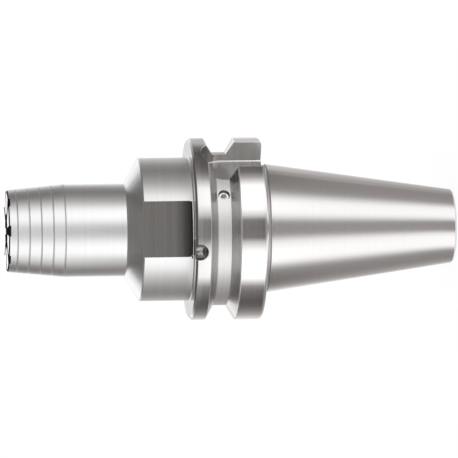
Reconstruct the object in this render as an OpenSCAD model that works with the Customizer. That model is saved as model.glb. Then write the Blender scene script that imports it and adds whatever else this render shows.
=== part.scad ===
// Hydraulic expansion chuck on a 7/24 steep-taper shank, in millimetres.
// It stands on the small end of its taper, with the tool end up.
// +Z is the spindle axis, towards the tool. +X passes through the middle of one drive slot.

/* [Taper shank] */
// Diameter of the taper at the gauge line
gauge_d = 44.45; // [44:0.05:45]
// Length of the ground taper, from its small end to the gauge line
taper_len = 65.4; // [60:0.2:70]
// Growth in diameter for each millimetre of taper
taper_ratio = 0.291667; // [0.28:0.001:0.3]
// Edge radius at the small end
small_end_r = 1.5; // [0.5:0.1:2]
// Diameter of the relief neck behind the flange
neck_d = 43.6; // [42:0.1:44]
// Fillet between the neck and the flange
neck_fillet = 0.6; // [0.3:0.1:1]

/* [Pull stud hole] */
// Nominal diameter of the pull stud thread
stud_thread_d = 16; // [15:0.1:16.4]
// Depth of the thread, from the small end
stud_depth = 30; // [26:1:34]
// Diameter of the pilot bore in front of the thread
stud_pilot_d = 17; // [16.5:0.1:18]
// Depth of the pilot bore
stud_pilot_depth = 9; // [6:0.5:12]
// Chamfer at the mouth of the pilot bore
stud_chamfer = 0.8; // [0.2:0.1:1]

/* [Flange] */
// Outer diameter of the flange
flange_d = 63; // [60:0.5:66]
// From the gauge line to the rear face of the flange
flange_gap = 2; // [1.5:0.1:3]
// From the gauge line to the front face of the flange
flange_front = 27; // [25:0.5:29]
// Chamfer of the front rim
front_chamfer = 0.7; // [0.3:0.1:1.2]
// Edge radius of the rear rim
rear_edge_r = 1.4; // [0.6:0.1:2]
// From the gauge line to the middle of the gripper groove
groove_centre = 16.6; // [16:0.1:17]
// Diameter at the floor of the gripper groove
groove_floor_d = 53; // [51:0.5:55]
// Width of the groove floor
groove_floor_w = 4.6; // [4:0.1:5]
// Angle between each groove flank and a plane across the axis
groove_flank = 30; // [28:1:32]
// Broken edge on the rims of the groove
groove_break = 0.1; // [0.1:0.05:0.4]

/* [Drive slots] */
// Width of each drive slot
slot_w = 16.1; // [15:0.1:17]
// From the axis to the floor of the slot
slot_floor = 22.6; // [22.5:0.1:24]
// From the gauge line to the round end of the slot
slot_end = 23.7; // [22:0.1:25]
// Fillet between the floor and walls of the slot
slot_fillet = 0.5; // [0.3:0.1:1]

/* [Index dimple] */
// Diameter of the ball-bottomed dimple in the front rim
dimple_d = 5.7; // [4:0.1:6.5]
// Depth of the dimple's straight wall
dimple_wall = 1; // [0.5:0.1:2]
// From the gauge line to the dimple's axis
dimple_pos = 25.6; // [24.5:0.1:26.5]
// Angle of the dimple, round the axis from the drive slot
dimple_angle = 72; // [65:1:80]

/* [Body and nose] */
// Distance from the front face of the flange to the front face of the chuck
nose_reach = 63; // [60:0.5:70]
// Diameter of the body in front of the flange
body_d = 49.5; // [48:0.1:51]
// Fillet between the body and the flange
body_fillet = 0.4; // [0.2:0.1:1.2]
// Distance from the flange to the end of the full body
body_len = 17.3; // [16.5:0.1:18]
// Angle of the cone between the body and the nose, from the axis
cone_angle = 60; // [50:1:65]
// Edge break where the body meets the cone
body_break = 0.3; // [0.1:0.1:0.6]
// Diameter of the plain part of the nose
nose_d = 32; // [31:0.1:33]
// Diameter of the nose at its tip
tip_d = 28.2; // [27:0.1:29]
// Chamfer at the tip
tip_chamfer = 0.45; // [0.2:0.05:0.8]
// Number of ring grooves on the nose
ring_count = 5; // [3:1:6]
// Distance from the front face to the first ring groove
ring_first = 3.1; // [2:0.1:4]
// Pitch of the ring grooves
ring_pitch = 4.1; // [3:0.1:4.5]
// Width of a ring groove
ring_w = 0.5; // [0.2:0.05:0.8]
// Depth of a ring groove
ring_depth = 0.22; // [0.1:0.01:0.4]
// Number of radial grooves in the front face
face_groove_count = 8; // [4:1:8]
// Depth of a face groove
face_groove_depth = 0.8; // [0.4:0.1:1.2]
// Width of a face groove at the bore
face_groove_w = 1.6; // [1:0.1:2]
// Width of a face groove at the rim
face_groove_rim_w = 4; // [2:0.1:4.4]

/* [Wrench flats] */
// From the axis to each wrench flat
flat_dist = 22.8; // [22:0.1:23.5]
// Gap between the flange and the end of the flat
flat_gap = 0.5; // [0.3:0.1:1.5]
// Corner radius at the end of the flat
flat_corner_r = 2; // [0.5:0.1:2.4]
// Radius of the concave run-out at the foot of the flat
flat_foot_r = 0.6; // [0.3:0.1:2.4]
// Angle of the wrench flat, round the axis from the drive slot
flat_angle = 57; // [50:1:65]

/* [Clamping bore and sleeve] */
// Clamping bore, the diameter of the tool shank
bore_d = 12; // [11.5:0.1:12.5]
// Clamping depth, the length of the expansion sleeve
clamp_depth = 46.5; // [45:0.5:48]
// Outer diameter of the expansion sleeve
sleeve_d = 18; // [17.4:0.1:19]
// Depth of the pressure chambers round the sleeve
chamber_depth = 1; // [0.6:0.1:1.4]
// Length of each pressure chamber
chamber_len = 14; // [12:0.5:15]
// Distance from each end of the sleeve to its chamber
chamber_margin = 4; // [3:0.5:5]
// Width of the oil passages across the middle land
passage_w = 1.2; // [0.8:0.1:1.6]
// Number of oil passages across the middle land
passage_count = 4; // [2:1:6]
// Chamfer at the mouth of the clamping bore
bore_chamfer = 0.5; // [0.2:0.1:0.8]
// Brazing gap round the sleeve
braze_gap = 0.02; // [0.01:0.01:0.04]

/* [Hydraulic cross bore] */
// From the chuck's axis to the axis of the cross bore
cross_offset = 14; // [13.6:0.1:14.4]
// From the gauge line to the axis of the cross bore
cross_pos = 35.1; // [34.5:0.1:35.5]
// Thread diameter of the clamping screw
screw_d = 10; // [9.6:0.1:10.4]
// Length of the clamping screw's thread
screw_len = 9; // [8:0.5:10]
// Diameter of the clamping screw's thrust pin
pin_d = 6; // [5:0.1:6.5]
// Length of the thrust pin
pin_len = 5; // [4.8:0.1:5.5]
// Distance from the chuck's middle plane to the outer end of the screw
screw_out = 14.5; // [14:0.1:15]
// Key size of the clamping screw
screw_key = 5; // [4:0.5:5.5]
// Depth of the hexagon socket
screw_key_depth = 5; // [3:0.5:6]
// Travel of the clamping screw and piston
piston_travel = 4.5; // [3:0.1:4.6]
// Diameter of the piston
piston_d = 8; // [7.6:0.1:8.2]
// Length of the piston, without its seal
piston_len = 4.5; // [4:0.1:5]
// Length of the piston seal
seal_len = 2.2; // [1.6:0.1:2.4]
// Diameter of the spigot that carries the seal
seal_spigot_d = 4; // [3:0.1:5]
// Depth of the hollow in the pressed side of the seal
seal_cup = 0.8; // [0.4:0.1:1]
// Space left in front of the seal when the chuck is clamped
oil_space = 0.6; // [0.4:0.1:1]
// Diameter of the oil channel to the sleeve
oil_channel_d = 1.6; // [1:0.1:2]

/* [Bleed port] */
// Thread diameter of the bleed screw
bleed_d = 5; // [4:0.1:5.4]
// Length of the bleed screw
bleed_len = 3.5; // [3:0.1:4]
// Key size of the bleed screw
bleed_key = 2.5; // [2:0.5:2.5]
// Diameter of the sealing ball
ball_d = 3; // [2.6:0.1:3.4]
// Diameter of the bleed channel
bleed_channel_d = 2; // [1.2:0.1:2.2]
// Length of the bleed channel
bleed_channel_len = 1; // [0.8:0.1:1.2]

/* [Length stop] */
// Thread diameter of the stop screw
stop_d = 10; // [9.6:0.1:10.4]
// Length of the stop screw
stop_len = 18; // [16:1:20]
// How far the resting stop screw lies below the foot of the sleeve
stop_drop = 0.3; // [0.1:0.1:1]
// Room below the stop screw before the thread ends
stop_room = 2.5; // [1:0.5:4]
// Key size of the stop screw
stop_key = 5; // [4:0.5:5.5]
// Depth of the stop screw's socket
stop_key_depth = 5; // [4:0.5:7]
// Coolant hole through the stop screw
stop_hole_d = 3; // [2:0.1:3.5]

/* [Coolant] */
// Diameter of the coolant bore along the axis
coolant_d = 8; // [6:0.5:8.5]
// Angle of the coolant ports, round the axis from the drive slot
coolant_angle = 31.5; // [28:0.5:40]
// Thread diameter of the groove plugs and port screws
plug_d = 4; // [3.5:0.1:4.4]
// Length of the groove plugs and port screws
plug_len = 4; // [3.5:0.1:4.5]
// How far the groove plugs lie below the groove floor
plug_recess = 1.3; // [0.4:0.1:1.6]
// Key size of the groove plugs and port screws
plug_key = 2; // [1.5:0.5:2]
// Depth of their hexagon sockets
plug_key_depth = 1.8; // [1.2:0.1:2.2]
// Diameter of the coolant channels
channel_d = 3; // [2:0.1:3.2]
// From the axis to the ports in the rear face of the flange
port_radius = 27; // [26.5:0.1:27.5]
// How far the port screws lie below the flange face
port_recess = 1.4; // [1.3:0.1:2]
// Where the port channel meets the radial channel, from the axis
port_meet = 17.5; // [16:0.5:19]

/* [Fits] */
// Radial clearance of a screw in its thread
thread_fit = 0.05; // [0.03:0.01:0.08]
// Radial clearance of the piston in its bore
piston_fit = 0.03; // [0.02:0.01:0.05]
// Gap between pieces that only touch at one spot
touch_gap = 0.05; // [0.03:0.01:0.1]

/* [Hidden] */

$fn = 120;
over = 1; // how far a cutter runs past the face that it opens
flat_side_room = 0.3; // how far the wrench flat's cutter runs past the flat's sides
steel = "#b9bcbe";
ground_steel = "#c9cbcc";
black_oxide = "#3d3d3f";

gauge_r = gauge_d / 2;
slope = taper_ratio / 2;
taper_angle = atan(slope);
small_r = gauge_r - taper_len * slope;
rear_z = taper_len + flange_gap;
front_z = taper_len + flange_front;
top_z = front_z + nose_reach;
flange_r = flange_d / 2;
body_r = body_d / 2;
nose_r = nose_d / 2;
tip_r = tip_d / 2;
groove_z = taper_len + groove_centre;
groove_r = groove_floor_d / 2;
groove_flare = (flange_r - groove_r) * tan(groove_flank);
body_top_z = front_z + body_len;
cone_top_z = body_top_z + (body_r - nose_r) / tan(cone_angle);
ring_last = ring_first + (ring_count - 1) * ring_pitch;
sleeve_foot_z = top_z - clamp_depth;
sleeve_r = sleeve_d / 2;
chamber_r = sleeve_r - chamber_depth;
slot_r = slot_w / 2;
slot_end_z = taper_len + slot_end - slot_r;
dimple_r = dimple_d / 2;
cross_z = taper_len + cross_pos;
screw_foot_x = screw_out - screw_len;
pin_tip_x = screw_foot_x - pin_len;
piston_foot_x = pin_tip_x - piston_len;
seal_foot_x = piston_foot_x - seal_len;
screw_thread_x = screw_foot_x - piston_travel - touch_gap * 4;
cross_foot_x = seal_foot_x - piston_travel - oil_space;
ball_x = cross_foot_x - bleed_channel_len - ball_d / 2 + touch_gap * 4;
bleed_foot_x = ball_x - ball_d / 2 - touch_gap;
stop_foot_z = sleeve_foot_z - stop_drop - stop_len;
stop_thread_z = stop_foot_z - stop_room;
plug_out = groove_r - plug_recess;
port_tilt = atan((port_radius - port_meet) / (groove_z - rear_z));
port_run = norm([port_radius - port_meet, groove_z - rear_z]);

// Points of an arc round (x, y), from angle a to angle b
function arc(x, y, r, a, b, n = 8) =
    [for (i = [0:n]) let (t = a + (b - a) * i / n) [x + r * cos(t), y + r * sin(t)]];

// Radius of the nose at a distance from the front face
function nose_radius(d) = d > ring_last ? nose_r : tip_r + (nose_r - tip_r) * d / ring_last;

// Circumscribed radius of a hexagon with a given key size
function hex_r(key) = key / sqrt(3);

// Turned outline: small end, taper, neck, flange, body, cone and nose
small_end_arc = arc(small_r + small_end_r * (slope - 1 / cos(taper_angle)), small_end_r,
                    small_end_r, -90, -taper_angle);
neck_r = neck_d / 2;
neck_arc = arc(neck_r + neck_fillet, rear_z - neck_fillet, neck_fillet, 180, 90);
rear_arc = arc(flange_r - rear_edge_r, rear_z + rear_edge_r, rear_edge_r, -90, 0);
body_arc = arc(body_r + body_fillet, front_z + body_fillet, body_fillet, -90, -180);
groove_mouth = groove_floor_w / 2 + groove_flare;
groove_inner = groove_mouth - groove_break * tan(groove_flank);
groove_points = [
    [flange_r, groove_z - groove_mouth - groove_break], [flange_r - groove_break, groove_z - groove_inner],
    [groove_r, groove_z - groove_floor_w / 2], [groove_r, groove_z + groove_floor_w / 2],
    [flange_r - groove_break, groove_z + groove_inner], [flange_r, groove_z + groove_mouth + groove_break]];
ring_points = [for (i = [ring_count - 1:-1:0]) let (d = ring_first + i * ring_pitch)
    each [[nose_radius(d), top_z - d - ring_w / 2],
          [nose_radius(d) - ring_depth, top_z - d],
          [nose_radius(d - ring_w / 2), top_z - d + ring_w / 2]]];
turned_outline = concat(
    [[0, 0]], small_end_arc,
    [[gauge_r, taper_len], [neck_r, taper_len + gauge_r - neck_r]], neck_arc, rear_arc, groove_points,
    [[flange_r, front_z - front_chamfer], [flange_r - front_chamfer, front_z]], body_arc,
    [[body_r, body_top_z - body_break], [body_r - body_break, body_top_z + body_break / tan(cone_angle)],
     [nose_r, cone_top_z]],
    ring_points,
    [[tip_r, top_z - tip_chamfer], [tip_r - tip_chamfer, top_z], [0, top_z]]);

// Turns its children so that local -Y points at the wrench flat
module clocked() {
    rotate([0, 0, 90 - flat_angle]) children();
}

// Puts its children on the axis of the hydraulic cross bore, with local +Z along it
module on_cross_bore(x) {
    clocked() translate([x, cross_offset, cross_z]) rotate([0, 90, 0]) children();
}

// Lays its children on the coolant channels, side 0 or 1
module coolant_side(side) {
    rotate([0, 0, 180 * side - coolant_angle]) children();
}

// Points a hole or screw along +Z down the inclined port in the rear face
module on_port(side, depth) {
    coolant_side(side) translate([port_radius, 0, rear_z]) rotate([0, -port_tilt, 0])
        translate([0, 0, depth]) children();
}

// Straight hole between two points
module channel(from, to, d) {
    run = to - from;
    translate(from) rotate([0, acos(run.z / norm(run)), atan2(run.y, run.x)]) cylinder(d = d, h = norm(run));
}

// Path of a cutter with rounded corners, straight in from the rear face
module drive_slot_cutter() {
    half = slot_r - slot_fillet;
    low = slot_floor + slot_fillet;
    side = concat(arc(low, half, slot_fillet, 180, 90, 5), [[2 * flange_r, slot_r]]);
    translate([0, 0, rear_z - over]) linear_extrude(height = slot_end_z - rear_z + over)
        polygon(concat(side, [for (i = [len(side) - 1:-1:0]) [side[i].x, -side[i].y]]));
    translate([0, 0, slot_end_z]) rotate([0, 90, 0]) rotate_extrude()
        polygon(concat([[0, slot_floor]], [for (p = side) [p.y, p.x]], [[0, 2 * flange_r]]));
}

// Milled flat that runs out through the cone, with round corners and a concave foot
module wrench_flat_cutter() {
    foot = front_z + flat_gap;
    half = sqrt(body_r * body_r - flat_dist * flat_dist) + flat_side_room;
    corner_x = half - flat_corner_r;
    corner_z = foot + flat_corner_r;
    intersection() {
        translate([0, -flat_dist, 0]) rotate([90, 0, 0]) linear_extrude(height = body_r)
            polygon(concat([[half, cone_top_z + over], [-half, cone_top_z + over]],
                           arc(-corner_x, corner_z, flat_corner_r, 180, 270),
                           arc(corner_x, corner_z, flat_corner_r, 270, 360)));
        translate([-body_r, 0, 0]) rotate([90, 0, 90]) linear_extrude(height = 2 * body_r)
            polygon(concat([[-flat_dist, cone_top_z + 2 * over], [-2 * body_r, cone_top_z + 2 * over],
                            [-2 * body_r, foot - over], [-flat_dist - flat_foot_r, foot - over]],
                           arc(-flat_dist - flat_foot_r, foot + flat_foot_r, flat_foot_r, -90, 0)));
    }
}

module dimple_cutter() {
    rotate([0, 0, -dimple_angle]) translate([flange_r - dimple_wall, 0, taper_len + dimple_pos])
        rotate([0, 90, 0]) rotate_extrude() polygon(concat(
            arc(0, 0, dimple_r, -90, 0), [[dimple_r, dimple_wall + over], [0, dimple_wall + over]]));
}

// Radial grooves across the front face, wider at the rim
module face_groove_cutter() {
    clocked() for (i = [0:face_groove_count - 1])
        rotate([0, 0, i * 360 / face_groove_count - 90])
            translate([0, 0, top_z - face_groove_depth]) linear_extrude(height = face_groove_depth + over)
                polygon([[bore_d / 4, -face_groove_w / 2], [tip_r + over, -face_groove_rim_w / 2],
                         [tip_r + over, face_groove_rim_w / 2], [bore_d / 4, face_groove_w / 2]]);
}

// Everything bored along the chuck's own axis
module axial_bores() {
    translate([0, 0, -over]) cylinder(d = stud_pilot_d, h = stud_pilot_depth + over);
    cylinder(d1 = stud_pilot_d + 2 * stud_chamfer, d2 = stud_pilot_d, h = stud_chamfer);
    translate([0, 0, -over]) cylinder(d = stud_thread_d, h = stud_depth + over);
    cylinder(d = coolant_d, h = stop_thread_z + over);
    translate([0, 0, stop_thread_z]) cylinder(d = stop_d, h = clamp_depth);
    translate([0, 0, sleeve_foot_z]) cylinder(d = sleeve_d, h = clamp_depth + over);
}

module coolant_bores(side) {
    coolant_side(side) translate([0, 0, groove_z]) rotate([0, 90, 0]) {
        cylinder(d = channel_d, h = groove_r);
        translate([0, 0, plug_out - plug_len]) cylinder(d = plug_d, h = plug_len + plug_recess + over);
    }
    on_port(side, -over) cylinder(d = plug_d, h = port_recess + plug_len + over);
    on_port(side, 0) cylinder(d = channel_d, h = port_run);
}

// Thread bore, piston bore, bleed port and oil channel of the hydraulic system
module hydraulic_bores() {
    on_cross_bore(screw_thread_x) cylinder(d = screw_d, h = body_r);
    on_cross_bore(cross_foot_x) cylinder(d = piston_d, h = body_r);
    on_cross_bore(cross_foot_x - bleed_channel_len - over) cylinder(d = bleed_channel_d, h = body_r);
    on_cross_bore(-body_r) cylinder(d = bleed_d, h = body_r + cross_foot_x - bleed_channel_len);
    clocked() channel([cross_foot_x + oil_space / 2, cross_offset, cross_z],
                      [(cross_foot_x + oil_space / 2) * chamber_r / cross_offset, chamber_r * 0.8,
                       sleeve_foot_z + chamber_margin + oil_channel_d], oil_channel_d);
}

module chuck_body() {
    color(ground_steel) difference() {
        rotate_extrude() polygon(turned_outline);
        axial_bores();
        for (side = [0, 1]) {
            rotate([0, 0, 180 * side]) drive_slot_cutter();
            clocked() rotate([0, 0, 180 * side]) wrench_flat_cutter();
            coolant_bores(side);
        }
        dimple_cutter();
        face_groove_cutter();
        hydraulic_bores();
    }
}

// Thin-walled sleeve with two ring chambers joined across a middle land
module expansion_sleeve() {
    outer = sleeve_r - braze_gap;
    low = chamber_margin;
    high = clamp_depth - chamber_margin - chamber_len;
    color(steel) difference() {
        translate([0, 0, sleeve_foot_z]) rotate_extrude() polygon([
            [bore_d / 2, 0], [outer, 0], [outer, low], [chamber_r, low], [chamber_r, low + chamber_len],
            [outer, low + chamber_len], [outer, high], [chamber_r, high], [chamber_r, high + chamber_len],
            [outer, high + chamber_len], [outer, clamp_depth], [bore_d / 2 + bore_chamfer, clamp_depth],
            [bore_d / 2, clamp_depth - bore_chamfer]]);
        for (i = [0:passage_count - 1])
            rotate([0, 0, i * 360 / passage_count])
                translate([chamber_r, -passage_w / 2, sleeve_foot_z + low])
                    cube([chamber_depth, passage_w, high - low]);
        face_groove_cutter();
    }
}

// Socket head end at the top, plain end at the origin
module socket_screw(d, len, key, key_depth) {
    edge = d * 0.08;
    difference() {
        rotate_extrude() polygon([[0, 0], [d / 2 - edge, 0], [d / 2, edge], [d / 2, len - edge],
                                  [d / 2 - edge, len], [0, len]]);
        translate([0, 0, len - key_depth]) cylinder(r = hex_r(key), h = key_depth + over, $fn = 6);
    }
}

module clamping_screw() {
    color(black_oxide) union() {
        on_cross_bore(screw_foot_x)
            socket_screw(screw_d - 2 * thread_fit, screw_len, screw_key, screw_key_depth);
        on_cross_bore(pin_tip_x) cylinder(d = pin_d, h = pin_len + over);
    }
}

module clamping_piston() {
    piston_body_d = piston_d - 2 * piston_fit;
    color(steel) union() {
        on_cross_bore(piston_foot_x) cylinder(d = piston_body_d, h = piston_len);
        on_cross_bore(piston_foot_x - seal_len + seal_cup) cylinder(d = seal_spigot_d, h = seal_len);
    }
}

module piston_seal() {
    color("#23262b") on_cross_bore(seal_foot_x) difference() {
        cylinder(d = piston_d - 2 * piston_fit, h = seal_len);
        translate([0, 0, -over]) cylinder(d = seal_spigot_d, h = seal_len + 2 * over);
        cylinder(d1 = (piston_d + seal_spigot_d) / 2, d2 = seal_spigot_d, h = seal_cup);
    }
}

module bleed_screw() {
    color(black_oxide) clocked() translate([bleed_foot_x, cross_offset, cross_z]) rotate([0, -90, 0])
        socket_screw(bleed_d - 2 * thread_fit, bleed_len, bleed_key, bleed_len / 2);
}

module bleed_ball() {
    color(ground_steel) clocked() translate([ball_x, cross_offset, cross_z]) sphere(d = ball_d);
}

module stop_screw() {
    color(black_oxide) translate([0, 0, stop_foot_z]) difference() {
        socket_screw(stop_d - 2 * thread_fit, stop_len, stop_key, stop_key_depth);
        translate([0, 0, -over]) cylinder(d = stop_hole_d, h = stop_len);
    }
}

module groove_plug(side) {
    color(black_oxide) coolant_side(side) translate([plug_out - plug_len, 0, groove_z]) rotate([0, 90, 0])
        socket_screw(plug_d - 2 * thread_fit, plug_len, plug_key, plug_key_depth);
}

module port_screw(side) {
    color(black_oxide) on_port(side, port_recess + plug_len) rotate([180, 0, 0])
        socket_screw(plug_d - 2 * thread_fit, plug_len, plug_key, plug_key_depth);
}

chuck_body();
expansion_sleeve();
clamping_screw();
clamping_piston();
piston_seal();
bleed_screw();
bleed_ball();
stop_screw();
groove_plug(0);  // groove_plug_1
groove_plug(1);  // groove_plug_2
port_screw(0);  // port_screw_1
port_screw(1);  // port_screw_2
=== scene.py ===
# Hydraulic expansion chuck on a 7/24 taper, standing on its small end and seen from the side
from math import cos, hypot, pi, radians, sin

import bpy
from mathutils import Matrix, Vector


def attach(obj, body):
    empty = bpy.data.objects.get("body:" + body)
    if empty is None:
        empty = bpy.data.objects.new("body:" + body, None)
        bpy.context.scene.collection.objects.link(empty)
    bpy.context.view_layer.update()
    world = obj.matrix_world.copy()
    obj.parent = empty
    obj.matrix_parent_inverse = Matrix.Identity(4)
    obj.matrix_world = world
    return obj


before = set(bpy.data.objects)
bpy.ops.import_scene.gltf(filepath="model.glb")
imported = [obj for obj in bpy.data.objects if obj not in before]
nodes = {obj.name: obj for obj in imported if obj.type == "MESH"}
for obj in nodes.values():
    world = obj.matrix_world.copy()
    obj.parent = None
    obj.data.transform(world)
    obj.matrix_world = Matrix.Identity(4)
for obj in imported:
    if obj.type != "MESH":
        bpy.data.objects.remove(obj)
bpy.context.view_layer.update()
scene = bpy.context.scene
scene.view_settings.view_transform = "Standard"
mm = 0.001
print("frame loaded:", len(nodes), "nodes")


# camera
view = {
    "lens": 500.9,        # long lens from far off, so the sides stay almost parallel
    "clip": (0.1, 60),
    "distance": 2.2086,
    "azimuth": -57,       # the wrench flat faces the camera
    "elevation": 5.747,
    "roll": 0.708,        # the axis rises a little to the right of the picture
    "aimHeight": 0.080,
    "slide": (0.00193, -0.00017),
}

azimuth, elevation, roll = (radians(view[k]) for k in ("azimuth", "elevation", "roll"))
towards = Vector((cos(azimuth), sin(azimuth), 0))
sideways = Vector((-sin(azimuth), cos(azimuth), 0))
right = towards * sin(elevation) - Vector((0, 0, cos(elevation)))
back = towards * cos(elevation) + Vector((0, 0, sin(elevation)))
right, up = right * cos(roll) - sideways * sin(roll), right * sin(roll) + sideways * cos(roll)
lens = bpy.data.cameras.new("camera")
lens.lens = view["lens"]
lens.clip_start, lens.clip_end = view["clip"]
camera = bpy.data.objects.new("camera", lens)
scene.collection.objects.link(camera)
place = Matrix((right, up, back)).transposed().to_4x4()
place.translation = (Vector((0, 0, view["aimHeight"])) + back * view["distance"]
                     + right * view["slide"][0] + up * view["slide"][1])
camera.matrix_world = place
scene.camera = camera
print("camera placed")


# node helpers
def newMaterial(name):
    material = bpy.data.materials.new(name)
    material.use_nodes = True
    material.node_tree.nodes.clear()
    return material, material.node_tree


def addNode(tree, kind, inputs=None, **settings):
    node = tree.nodes.new(kind)
    for key, value in settings.items():
        setattr(node, key, value)
    for key, value in (inputs or {}).items():
        if isinstance(value, bpy.types.NodeSocket):
            tree.links.new(value, node.inputs[key])
        else:
            node.inputs[key].default_value = value
    return node


def maths(tree, operation, first, second=0.0):
    return addNode(tree, "ShaderNodeMath", {0: first, 1: second}, operation=operation).outputs[0]


def ranged(tree, value, start, end, low=0.0, high=1.0, **settings):
    inputs = {"Value": value, "From Min": start, "From Max": end, "To Min": low, "To Max": high}
    return addNode(tree, "ShaderNodeMapRange", inputs, **settings).outputs[0]


def mixedColour(tree, share, first, second):
    inputs = {0: share, 6: first, 7: second}
    return addNode(tree, "ShaderNodeMix", inputs, data_type="RGBA").outputs[2]


def pieceFrom(name, points, faces, material=None):
    mesh = bpy.data.meshes.new(name)
    mesh.from_pydata(points, [], faces)
    mesh.update()
    piece = bpy.data.objects.new(name, mesh)
    scene.collection.objects.link(piece)
    if material:
        mesh.materials.append(material)
    return piece


# floor, white room and lamps
room = {
    "floorHalf": 9.0,
    "floorShade": 0.12,   # share of the floor that takes lamp light, and so the shadow
    "floorColour": (0.98, 0.98, 0.98, 1),
    "sky": 1.0,
    "lampAim": (0, 0, 0.07),
    "lamps": [
        {"name": "topLamp", "at": (0.35, -0.75, 1.25), "size": 0.9, "power": 4.0},
        {"name": "fillLamp", "at": (-0.9, 0.5, 0.9), "size": 0.7, "power": 1.5},
    ],
}


def seenDirectly(tree):
    path = addNode(tree, "ShaderNodeLightPath")
    seen = maths(tree, "MAXIMUM", path.outputs["Is Camera Ray"], path.outputs["Is Glossy Ray"])
    return maths(tree, "MAXIMUM", seen, path.outputs["Is Transmission Ray"])


def makeRoom(d):
    world = bpy.data.worlds.new("whiteRoom")
    world.use_nodes = True
    scene.world = world
    tree = world.node_tree
    tree.nodes.clear()
    white = (1, 1, 1, 1)
    sky = addNode(tree, "ShaderNodeBackground", {"Color": white, "Strength": d["sky"]})
    plain = addNode(tree, "ShaderNodeBackground", {"Color": white, "Strength": 1.0})
    mix = addNode(tree, "ShaderNodeMixShader",
                  {0: seenDirectly(tree), 1: sky.outputs[0], 2: plain.outputs[0]})
    addNode(tree, "ShaderNodeOutputWorld", {"Surface": mix.outputs[0]})

    paper, tree = newMaterial("palePaper")
    matt = addNode(tree, "ShaderNodeBsdfDiffuse", {"Color": d["floorColour"]})
    glow = addNode(tree, "ShaderNodeEmission", {"Color": white, "Strength": 1.0})
    share = maths(tree, "MULTIPLY", seenDirectly(tree), 1 - d["floorShade"])
    mix = addNode(tree, "ShaderNodeMixShader", {0: share, 1: matt.outputs[0], 2: glow.outputs[0]})
    addNode(tree, "ShaderNodeOutputMaterial", {"Surface": mix.outputs[0]})
    h = d["floorHalf"]
    corners = [(-h, -h, 0), (h, -h, 0), (h, h, 0), (-h, h, 0)]
    floor = pieceFrom("floor", corners, [(0, 1, 2, 3)], paper)

    for lamp in d["lamps"]:
        light = bpy.data.lights.new(lamp["name"], "AREA")
        light.size = lamp["size"]
        light.energy = lamp["power"]
        body = bpy.data.objects.new(lamp["name"], light)
        body.location = lamp["at"]
        aim = Vector(d["lampAim"]) - body.location
        body.rotation_euler = aim.to_track_quat("-Z", "Y").to_euler()
        body.visible_glossy = False
        scene.collection.objects.link(body)


# Grey and white cards round the chuck, seen only in its reflections. They lie on the floor, stand
# up as a wall and close the top. A row of tones starts with the angle on the metal where the cards
# show, from the camera's side. Then come the brightness of the foot of the wall, which the flange
# mirrors, of the wall above it, which the nose mirrors, of the next part up, which the tip mirrors,
# and of the floor card, which the taper mirrors.
cards = {
    "innerRadius": 12.7 * mm,
    "middleRadius": 22 * mm,
    "middleReach": 160 * mm,
    "wallRadius": 0.6,
    "outerShare": 0.6,        # how far out the floor card ends, as a share of the wall's radius
    "wallLevels": (0.0, 0.043, 0.057, 0.105, 0.128, 0.175, 0.195, 0.55),
    "behindTheTip": 1.3,      # tone of the wall that the front face mirrors
    "behindFrom": 76,         # angle from which the wall counts as behind the chuck
    "redder": 0.08,           # how much warmer than grey a black card would be
    "lessBlue": 0.035,
    "lift": 0.3 * mm,
    "lidTone": 0.13,
    "lidSides": 60,
    "tones": [
        (-90, 0.95, 1.60, 0.80, 0.95), (-84, 0.84, 1.05, 0.80, 0.75), (-78, 0.80, 0.64, 0.56, 0.50),
        (-70, 0.46, 0.34, 0.25, 0.40), (-64, 0.28, 0.27, 0.18, 0.34), (-58, 0.15, 0.30, 0.21, 0.29),
        (-52, 0.10, 0.54, 0.36, 0.30), (-46, 0.13, 0.90, 0.63, 0.32), (-42, 0.17, 1.08, 0.87, 0.40),
        (-38.5, 0.30, 1.06, 0.95, 0.66), (-35, 0.86, 1.03, 1.18, 1.05), (-31, 1.70, 0.92, 1.30, 1.28),
        (-25, 1.80, 0.84, 1.30, 1.28), (-20, 1.80, 0.84, 1.30, 1.28), (-13, 1.25, 0.90, 0.95, 1.08),
        (-9, 0.75, 0.91, 0.85, 0.62), (-6, 0.16, 0.98, 0.74, 0.36), (0, 0.135, 0.99, 0.745, 0.34),
        (5, 0.16, 1.04, 0.815, 0.36), (8, 0.83, 0.99, 0.96, 0.70), (11, 1.25, 1.02, 1.18, 1.08),
        (15, 1.80, 0.90, 1.30, 1.25), (20, 1.80, 0.84, 1.27, 1.24), (25, 1.75, 0.82, 1.27, 1.22),
        (29, 1.05, 0.96, 0.97, 1.00), (33, 0.42, 0.86, 0.82, 0.62), (37, 0.15, 0.78, 0.60, 0.38),
        (41, 0.10, 0.66, 0.40, 0.35), (46, 0.09, 0.50, 0.25, 0.32), (50, 0.09, 0.38, 0.19, 0.32),
        (55, 0.10, 0.28, 0.16, 0.32), (62, 0.26, 0.30, 0.21, 0.40), (68, 0.66, 0.48, 0.39, 0.50),
        (75, 0.62, 0.80, 0.75, 0.54), (82, 0.80, 1.40, 0.80, 0.76), (90, 1.10, 2.20, 0.80, 1.00),
    ],
}


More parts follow.
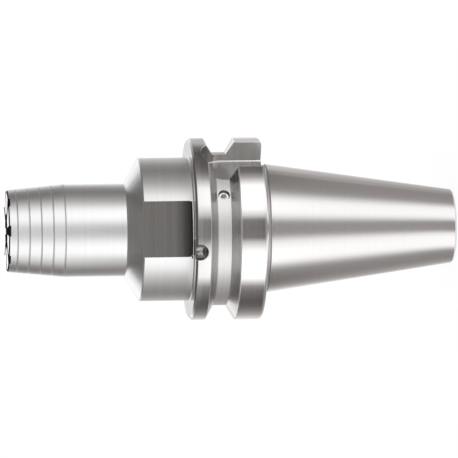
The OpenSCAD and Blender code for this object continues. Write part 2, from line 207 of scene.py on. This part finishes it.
def makeCards(d):
    paint, tree = newMaterial("cardTones")
    tone = addNode(tree, "ShaderNodeAttribute", attribute_name="tone")
    glow = addNode(tree, "ShaderNodeEmission", {"Color": tone.outputs["Color"], "Strength": 1.0})
    addNode(tree, "ShaderNodeOutputMaterial", {"Surface": glow.outputs[0]})
    raised = Vector((0, 0, d["lift"]))
    points, faces, tones = [], [], []
    for angle, footTone, noseTone, tipTone, floorTone in d["tones"]:
        a = radians(angle)
        near = towards * cos(a) + sideways * sin(a)
        far = towards * cos(2 * a) + sideways * sin(2 * a)
        wall = far * d["wallRadius"]
        points += [near * d["innerRadius"] + raised,
                   near * d["middleRadius"] + far * d["middleReach"] + raised,
                   wall * d["outerShare"] + raised]
        points += [wall + Vector((0, 0, max(level, d["lift"]))) for level in d["wallLevels"]]
        topTone = d["behindTheTip"] if abs(angle) > d["behindFrom"] else tipTone
        tones += [floorTone] * 2 + [footTone] * 3 + [noseTone] * 2 + [tipTone] * 2 + [topTone] * 2
    rows = 3 + len(d["wallLevels"])
    for i in range(len(d["tones"]) - 1):
        for j in range(rows - 1):
            a = i * rows + j
            faces.append((a, a + rows, a + rows + 1, a + 1))
    for i in range(d["lidSides"]):
        a = 2 * pi * i / d["lidSides"]
        points.append(Vector((cos(a), sin(a), 0)) * d["wallRadius"]
                      + Vector((0, 0, d["wallLevels"][-1])))
    faces.append(tuple(range(len(tones), len(points))))
    tones += [d["lidTone"]] * d["lidSides"]
    screen = pieceFrom("studioCards", points, faces, paint)
    layer = screen.data.color_attributes.new("tone", "FLOAT_COLOR", "POINT")
    for i, value in enumerate(tones):
        warm = max(0, 1 - value)
        red, blue = value * (1 + d["redder"] * warm), value * (1 - d["lessBlue"] * warm)
        layer.data[i].color = (red, value, blue, 1)
    screen.visible_camera = False
    screen.visible_diffuse = False
    screen.visible_shadow = False
    screen.visible_transmission = False


makeRoom(room)
makeCards(cards)
print("floor, room and cards made")


# Metal finishes. The tool marks lie across the axis, fine ones over broad ones, and change the
# steel's roughness, tint and height. A "fade" is two heights and how dark the steel is at the
# second. A painted rim highlight is the distances from the axis of a wall's foot and rim, then
# the share of pale matt colour in place of metal that paints light rising up the wall below the
# rim and a highlight line on its edge.
marks = {
    "cloudScale": 140, "cloudDetail": 3,
    "fineDetail": 4, "fineRoughness": 0.7, "fineShare": 0.55,
    "broadDetail": 2, "broadRoughness": 0.6, "broadShare": 0.45,
    "roughSpan": (0.3, 0.7), "tintSpan": (0.32, 0.68),
    "rimWidth": 0.1 * mm, "paintedHighlightColour": (0.88, 0.87, 0.86, 1),
    "bevelSamples": 6,
    "glossTurn": 0.25,    # a quarter turn, so the highlight spreads along the axis
}


def markNoise(tree, along, scale, size):
    inputs = {"W": along, "Scale": scale, "Detail": marks[size + "Detail"],
              "Roughness": marks[size + "Roughness"]}
    return addNode(tree, "ShaderNodeTexNoise", inputs, noise_dimensions="1D").outputs[0]


# paints a highlight with pale matt colour: a share that rises from a wall's foot to its rim, and a
# highlight line just past the rim
def paintedHighlightShare(tree, place, foot, rim, paintedWallLight, paintedRimLine):
    flat = addNode(tree, "ShaderNodeVectorMath", {0: place, 1: (1, 1, 0)}, operation="MULTIPLY")
    length = addNode(tree, "ShaderNodeVectorMath", {0: flat.outputs[0]}, operation="LENGTH")
    radius = length.outputs["Value"]
    slope = ranged(tree, radius, foot, rim, high=paintedWallLight)
    line = ranged(tree, radius, rim, rim + marks["rimWidth"], high=paintedRimLine)
    return maths(tree, "MAXIMUM", slope, line)


def steelFinish(name, d):
    material, tree = newMaterial(name)
    place = addNode(tree, "ShaderNodeTexCoord").outputs["Object"]
    height = addNode(tree, "ShaderNodeSeparateXYZ", {0: place}).outputs["Z"]
    cloud = addNode(tree, "ShaderNodeTexNoise", {"Vector": place, "Scale": marks["cloudScale"],
                                                 "Detail": marks["cloudDetail"]}).outputs[0]
    along = maths(tree, "ADD", height, maths(tree, "MULTIPLY", cloud, d.get("wander", 0.0)))
    fine = markNoise(tree, along, d["finePerMetre"], "fine")
    broad = markNoise(tree, along, d["broadPerMetre"], "broad")
    both = maths(tree, "ADD", maths(tree, "MULTIPLY", fine, marks["fineShare"]),
                 maths(tree, "MULTIPLY", broad, marks["broadShare"]))
    rough = ranged(tree, both, *marks["roughSpan"], *d["roughness"])
    dark, light = d["colours"]
    colour = mixedColour(tree, ranged(tree, both, *marks["tintSpan"]), (*dark, 1), (*light, 1))
    # darker between two heights; on the wrench flat this is painted shade
    if "fade" in d:
        start, end, share = d["fade"]
        share = ranged(tree, height, start, end, 1.0, share, interpolation_type="SMOOTHSTEP")
        colour = addNode(tree, "ShaderNodeVectorMath", {0: colour, "Scale": share},
                         operation="SCALE").outputs[0]
    metallic = d.get("metallic", 1.0)
    specular = 0.5 if metallic else 0.0
    # painted highlight: pale matt colour in place of metal on the upper wall and along the rim's edge
    if "paintedRimHighlight" in d:
        pale = paintedHighlightShare(tree, place, *d["paintedRimHighlight"])
        metallic = maths(tree, "SUBTRACT", 1.0, pale)
        colour = mixedColour(tree, pale, colour, marks["paintedHighlightColour"])
    edge = addNode(tree, "ShaderNodeBevel", {"Radius": d["edge"]}, samples=marks["bevelSamples"])
    bump = addNode(tree, "ShaderNodeBump", {"Height": both, "Strength": d["bump"],
                                            "Distance": d["depth"], "Normal": edge.outputs[0]})
    shader = addNode(tree, "ShaderNodeBsdfPrincipled", {
        "Base Color": colour, "Roughness": rough, "Metallic": metallic,
        "Specular IOR Level": specular, "Normal": bump.outputs[0]})
    if "anisotropic" in d:
        tangent = addNode(tree, "ShaderNodeTangent", direction_type="RADIAL", axis="Z")
        tree.links.new(tangent.outputs[0], shader.inputs["Tangent"])
        shader.inputs["Anisotropic"].default_value = d["anisotropic"]
        shader.inputs["Anisotropic Rotation"].default_value = marks["glossTurn"]
    addNode(tree, "ShaderNodeOutputMaterial", {"Surface": shader.outputs[0]})
    return material


bodyFinishes = {
    "groundTaper": {
        "finePerMetre": 5200, "broadPerMetre": 1400, "wander": 0.00002, "roughness": (0.215, 0.255),
        "colours": ((0.75, 0.737, 0.732), (0.79, 0.778, 0.773)), "edge": 0.25 * mm,
        "bump": 0.25, "depth": 0.003 * mm, "anisotropic": 0.6},
    "turnedNose": {
        "finePerMetre": 4200, "broadPerMetre": 700, "wander": 0.00002, "roughness": (0.28, 0.34),
        "colours": ((0.771, 0.775, 0.777), (0.821, 0.825, 0.827)), "edge": 0.2 * mm,
        "bump": 0.25, "depth": 0.003 * mm, "anisotropic": 0.3},
    "endFace": {
        "finePerMetre": 4200, "broadPerMetre": 700, "roughness": (0.18, 0.24),
        "colours": ((0.85, 0.85, 0.85), (0.89, 0.89, 0.89)), "edge": 0.03 * mm,
        "bump": 0.1, "depth": 0.002 * mm},
    "turnedBody": {
        "finePerMetre": 4200, "broadPerMetre": 700, "wander": 0.00002, "roughness": (0.36, 0.42),
        "colours": ((0.776, 0.775, 0.774), (0.826, 0.825, 0.824)), "edge": 0.2 * mm,
        "bump": 0.25, "depth": 0.003 * mm, "anisotropic": 0.3},
    "turnedFlange": {
        "finePerMetre": 4800, "broadPerMetre": 800, "wander": 0.00002, "roughness": (0.10, 0.14),
        "colours": ((0.75, 0.74, 0.735), (0.80, 0.79, 0.785)), "edge": 0.25 * mm,
        "bump": 0.25, "depth": 0.003 * mm, "anisotropic": 0.6, "fade": (0.077, 0.087, 0.78)},
    "grooveSteel": {
        "finePerMetre": 5200, "broadPerMetre": 1100, "wander": 0.00003, "roughness": (0.40, 0.46),
        "colours": ((0.72, 0.71, 0.705), (0.80, 0.79, 0.785)), "edge": 0.15 * mm,
        "bump": 0.35, "depth": 0.004 * mm},
    # the groove's flanks: steel painted darker as shade in the groove, with a painted highlight on
    # the rim's edge
    "grooveFlank": {
        "finePerMetre": 5200, "broadPerMetre": 1100, "wander": 0.00003, "roughness": (0.25, 0.29),
        "colours": ((0.54, 0.53, 0.52), (0.61, 0.60, 0.59)), "edge": 0.1 * mm,
        "bump": 0.1, "depth": 0.002 * mm, "anisotropic": 0.9,
        "paintedRimHighlight": (30.9 * mm, 31.0 * mm, 0.0, 0.22)},
    # the relief under the flange: steel painted darker as shade
    "neckSteel": {
        "finePerMetre": 5200, "broadPerMetre": 1100, "wander": 0.00003, "roughness": (0.38, 0.46),
        "colours": ((0.46, 0.455, 0.45), (0.54, 0.53, 0.525)), "edge": 0.3 * mm,
        "bump": 0.3, "depth": 0.003 * mm},
    # the wrench flat: steel painted dark as the dark reflection it shows, and darker still towards
    # its foot at the flange as painted shade
    "milledFlat": {
        "finePerMetre": 2600, "broadPerMetre": 520, "wander": 0.00015, "roughness": (0.24, 0.32),
        "colours": ((0.235, 0.225, 0.218), (0.275, 0.265, 0.257)), "edge": 0.2 * mm,
        "bump": 0.3, "depth": 0.003 * mm, "fade": (0.0995, 0.0925, 0.15)},
    "milledSlot": {
        "finePerMetre": 2400, "broadPerMetre": 480, "wander": 0.0002, "roughness": (0.26, 0.31),
        "colours": ((0.84, 0.83, 0.82), (0.88, 0.87, 0.86)), "edge": 0.3 * mm,
        "bump": 0.05, "depth": 0.002 * mm},
    # the slot's side walls: steel painted darker as shade, with painted light rising to the rim and a
    # painted highlight on its edge
    "slotWall": {
        "finePerMetre": 2400, "broadPerMetre": 480, "wander": 0.0002, "roughness": (0.28, 0.36),
        "colours": ((0.44, 0.43, 0.42), (0.50, 0.49, 0.48)), "edge": 0.2 * mm,
        "bump": 0.1, "depth": 0.002 * mm, "paintedRimHighlight": (24.5 * mm, 31.1 * mm, 0.22, 0.95)},
    # the slot's round end: steel painted near black as shade, with a painted highlight on the rim's
    # edge
    "slotEnd": {
        "finePerMetre": 2400, "broadPerMetre": 480, "wander": 0.0002, "roughness": (0.26, 0.31),
        "colours": ((0.15, 0.145, 0.14), (0.19, 0.185, 0.18)), "edge": 0.1 * mm,
        "bump": 0.1, "depth": 0.002 * mm, "paintedRimHighlight": (30.9 * mm, 31.0 * mm, 0.0, 0.9)},
    # the dimple and the plug holes: steel painted darker as shade in the recesses, with a painted
    # highlight on the rim's edge
    "recess": {
        "finePerMetre": 2400, "broadPerMetre": 480, "wander": 0.0002, "roughness": (0.12, 0.16),
        "colours": ((0.36, 0.35, 0.34), (0.42, 0.41, 0.40)), "edge": 0.12 * mm,
        "bump": 0.1, "depth": 0.002 * mm, "paintedRimHighlight": (30.9 * mm, 31.0 * mm, 0.0, 0.85)},
    # the rings on the nose: steel painted darker as shade in the grooves
    "ringSteel": {
        "finePerMetre": 5200, "broadPerMetre": 900, "roughness": (0.42, 0.5),
        "colours": ((0.68, 0.675, 0.67), (0.74, 0.735, 0.73)), "edge": 0.05 * mm,
        "bump": 0.2, "depth": 0.003 * mm},
    # near black and not metal: painted shade in the sleeve's bore and a painted dark reflection on
    # the tip's chamfer; the notches across the end face are near black too
    "darkNotch": {
        "finePerMetre": 3000, "broadPerMetre": 800, "roughness": (0.6, 0.75), "metallic": 0.0,
        "colours": ((0.012, 0.011, 0.012), (0.022, 0.02, 0.022)), "edge": 0.05 * mm,
        "bump": 0.2, "depth": 0.003 * mm},
    "boredSteel": {
        "finePerMetre": 3200, "broadPerMetre": 800, "wander": 0.0001, "roughness": (0.28, 0.40),
        "colours": ((0.45, 0.44, 0.435), (0.58, 0.57, 0.56)), "edge": 0.15 * mm,
        "bump": 0.4, "depth": 0.005 * mm},
}

# heights and distances from the axis in mm that tell one machined face of the body from the next
edges = {
    "gauge": 65.4, "flangeRear": 67.4, "flangeFront": 92.4, "firstRing": 134.0, "top": 155.4,
    "notchFoot": 154.5, "ringsEnd": 154.4, "faceSlack": 0.02, "slack": 0.05,
    "bore": 11.6, "neck": 24.0, "cylinder": 24.4, "holesFrom": 20.0,
    "grooveRear": 76.0, "grooveFront": 88.0, "grooveRim": 31.0,
    "slotFrom": 22.4, "slotFloor": 22.6, "slotHalf": 8.2, "slotRim": 31.45, "slotEnd": 84.0,
}
# limits for the parts of a face's normal, from square to a direction to hardly turned to it
tilt = {"round": 0.97, "square": 0.9, "steep": 0.7, "leaning": 0.3, "slight": 0.2, "level": 0.05}
flat = {
    "turn": radians(33), "distance": 22.8, "half": 10.5, "from": 92.7,
    "filletTop": 23.5, "filletAt": (23.4, 93.5), "filletRadius": 0.6, "filletSlack": 0.06,
}
holes = [
    {"angle": -72, "height": 91.0, "radius": 2.87, "rim": 31.3},      # dimple
    {"angle": -31.5, "height": 82.0, "radius": 2.06, "rim": 26.45},   # the two groove plugs
    {"angle": 148.5, "height": 82.0, "radius": 2.06, "rim": 26.45},
]


def onFlat(x, y, z):
    along = x * cos(flat["turn"]) + y * sin(flat["turn"])
    across = abs(y * cos(flat["turn"]) - x * sin(flat["turn"]))
    if z <= flat["from"] or abs(along) >= flat["half"]:
        return False
    middle, height = flat["filletAt"]
    toFillet = abs(hypot(across - middle, z - height) - flat["filletRadius"])
    return (abs(across - flat["distance"]) < edges["faceSlack"]
            or flat["distance"] < across < flat["filletTop"] and toFillet < flat["filletSlack"])


def inHole(x, y, z, hole):
    angle = radians(hole["angle"])
    outward, across = x * cos(angle) + y * sin(angle), y * cos(angle) - x * sin(angle)
    return outward > edges["holesFrom"] and hypot(across, z - hole["height"]) < hole["radius"]


def slotZone(x, z, normal):
    facesAcross = abs(normal.x) < tilt["leaning"]
    if z > edges["slotEnd"] and facesAcross and normal.z < tilt["level"]:
        return "slotEnd"
    if facesAcross and abs(normal.z) < tilt["steep"]:
        return "slotWall"
    return "milledSlot" if abs(abs(x) - edges["slotFloor"]) < edges["slack"] else None


def bodyZone(centre, normal):
    # which finish this face gets: most follow the machining, some carry painted shade or a painted
    # highlight
    x, y, z = (v / mm for v in centre)
    r = hypot(x, y)
    outward = (normal.x * x + normal.y * y) / max(r, 1e-6)
    slack, top = edges["slack"], edges["top"] - edges["faceSlack"]
    if onFlat(x, y, z):
        return "milledFlat"
    if z > top and normal.z > tilt["square"]:
        return "endFace"
    # the notches and the tip's chamfer; on the chamfer the near-black finish is a painted dark
    # reflection
    if edges["notchFoot"] < z < top and (normal.z > tilt["leaning"] or outward < tilt["square"]):
        return "darkNotch"
    if any(r < hole["rim"] and inHole(x, y, z, hole) for hole in holes):
        return "recess"
    inSlot = abs(x) > edges["slotFrom"] and abs(y) < edges["slotHalf"] and r < edges["slotRim"]
    if inSlot and edges["flangeRear"] - slack < z < edges["flangeFront"]:
        zone = slotZone(x, z, normal)
        if zone:
            return zone
    if r < edges["bore"] and z < edges["top"] - slack or outward < -tilt["slight"]:
        return "boredSteel"
    if z < edges["gauge"] + slack:
        return "groundTaper"
    if z < edges["flangeRear"] - edges["faceSlack"] and r < edges["neck"]:
        return "neckSteel"
    if z < edges["flangeFront"] + slack:
        inGroove = edges["grooveRear"] < z < edges["grooveFront"]
        if inGroove and (r < edges["grooveRim"] or outward < tilt["round"]):
            return "grooveFlank" if abs(normal.z) > tilt["leaning"] else "grooveSteel"
        return "turnedFlange"
    leans = abs(normal.z) > tilt["leaning"] and outward > tilt["slight"]
    if leans and edges["firstRing"] < z < edges["ringsEnd"]:
        return "ringSteel"
    upright = abs(normal.z) < tilt["slight"]
    return "turnedBody" if r > edges["cylinder"] and upright else "turnedNose"


def finishBody(node):
    mesh = node.data
    mesh.materials.clear()
    order = list(bodyFinishes)
    for name in order:
        mesh.materials.append(steelFinish(name, bodyFinishes[name]))
    count = {}
    for face in mesh.polygons:
        zone = bodyZone(face.center, face.normal)
        face.material_index = order.index(zone)
        count[zone] = count.get(zone, 0) + 1
    print("chuck body finished:", count)


finishBody(nodes["chuck_body"])

smallFinishes = {
    "sleeveSteel": {
        "nodes": ["expansion_sleeve", "clamping_piston"],
        "finePerMetre": 4200, "broadPerMetre": 900, "roughness": (0.26, 0.34),
        "colours": ((0.66, 0.655, 0.65), (0.74, 0.73, 0.725)), "edge": 0.15 * mm,
        "bump": 0.3, "depth": 0.004 * mm},
    "blackScrew": {
        "nodes": ["clamping_screw", "bleed_screw", "stop_screw", "port_screw_1", "port_screw_2"],
        "finePerMetre": 3000, "broadPerMetre": 700, "roughness": (0.36, 0.5),
        "colours": ((0.035, 0.035, 0.038), (0.07, 0.068, 0.07)), "edge": 0.12 * mm,
        "bump": 0.3, "depth": 0.004 * mm},
    "plugSteel": {
        "nodes": ["groove_plug_1", "groove_plug_2"],
        "finePerMetre": 3000, "broadPerMetre": 700, "roughness": (0.18, 0.26),
        "colours": ((0.60, 0.60, 0.60), (0.74, 0.74, 0.735)), "edge": 0.12 * mm,
        "bump": 0.2, "depth": 0.003 * mm},
    "ballSteel": {
        "nodes": ["bleed_ball"],
        "finePerMetre": 2000, "broadPerMetre": 500, "roughness": (0.08, 0.12),
        "colours": ((0.74, 0.74, 0.75), (0.80, 0.80, 0.81)), "edge": 0.02 * mm,
        "bump": 0.05, "depth": 0.001 * mm},
}
for name, d in smallFinishes.items():
    finish = steelFinish(name, d)
    for node in d["nodes"]:
        nodes[node].data.materials.clear()
        nodes[node].data.materials.append(finish)

# the sleeve shows its end face and the near-black grooves across it; its bore is painted near black
# as shade
sleeveEdges = {"bore": 6.1, "grooveDepth": 0.9}


def finishSleeve(node, d):
    mesh = node.data
    for name in ("darkNotch", "endFace"):
        mesh.materials.append(bpy.data.materials[name])
    dark, bright = 1, 2
    for face in mesh.polygons:
        depth = edges["top"] - face.center.z / mm
        inBore = hypot(face.center.x, face.center.y) / mm < d["bore"]
        if depth < edges["faceSlack"]:
            face.material_index = bright
        elif inBore or depth < d["grooveDepth"]:
            face.material_index = dark


finishSleeve(nodes["expansion_sleeve"], sleeveEdges)

seal = {
    "grainScale": 3500, "grainDetail": 3, "roughness": 0.55, "bump": 0.3, "depth": 0.02 * mm,
    "colours": ((0.018, 0.019, 0.022), (0.045, 0.046, 0.05)),
}


def finishSeal(node, d):
    rubber, tree = newMaterial("sealRubber")
    place = addNode(tree, "ShaderNodeTexCoord").outputs["Object"]
    grain = addNode(tree, "ShaderNodeTexNoise", {"Vector": place, "Scale": d["grainScale"],
                                                 "Detail": d["grainDetail"]}).outputs[0]
    tint = addNode(tree, "ShaderNodeValToRGB", {0: grain})
    for element, colour in zip(tint.color_ramp.elements, d["colours"]):
        element.color = (*colour, 1)
    bump = addNode(tree, "ShaderNodeBump",
                   {"Height": grain, "Strength": d["bump"], "Distance": d["depth"]})
    shader = addNode(tree, "ShaderNodeBsdfPrincipled", {
        "Base Color": tint.outputs[0], "Roughness": d["roughness"], "Normal": bump.outputs[0]})
    addNode(tree, "ShaderNodeOutputMaterial", {"Surface": shader.outputs[0]})
    node.data.materials.clear()
    node.data.materials.append(rubber)


finishSeal(nodes["piston_seal"], seal)
print("screws, plugs, sleeve and seal finished")

# thread of the pull stud hole in mm, a ridge wound up the plain bore
studThread = {
    "pitch": 2.0, "wallRadius": 8.02, "crestRadius": 6.92, "baseWidth": 1.72, "crestWidth": 0.5,
    "from": 9.9, "to": 28.6, "stepsPerTurn": 64, "fadeTurns": 0.75, "leastHeight": 0.02,
}


def makeThread(name, d, body):
    turns = (d["to"] - d["from"]) / d["pitch"]
    steps = int(turns * d["stepsPerTurn"])
    wall, base, crestHalf = d["wallRadius"], d["baseWidth"] / 2, d["crestWidth"] / 2
    points, faces = [], []
    for i in range(steps + 1):
        turn = i / d["stepsPerTurn"]
        height = min(1.0, turn / d["fadeTurns"], (turns - turn) / d["fadeTurns"])
        crest = wall - (wall - d["crestRadius"]) * max(height, d["leastHeight"])
        z = d["from"] + turn * d["pitch"]
        for radius, offset in ((wall, -base), (crest, -crestHalf), (crest, crestHalf), (wall, base)):
            a = 2 * pi * turn
            points.append(Vector((radius * cos(a), radius * sin(a), z + offset)) * mm)
    for i in range(steps):
        for j in range(4):
            a, b = i * 4 + j, i * 4 + (j + 1) % 4
            faces.append((a, b, b + 4, a + 4))
    faces += [(3, 2, 1, 0), tuple(steps * 4 + j for j in range(4))]
    thread = pieceFrom(name, points, faces, bpy.data.materials["boredSteel"])
    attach(thread, body)


makeThread("pull_stud_thread", studThread, "chuck")
print("thread wound")
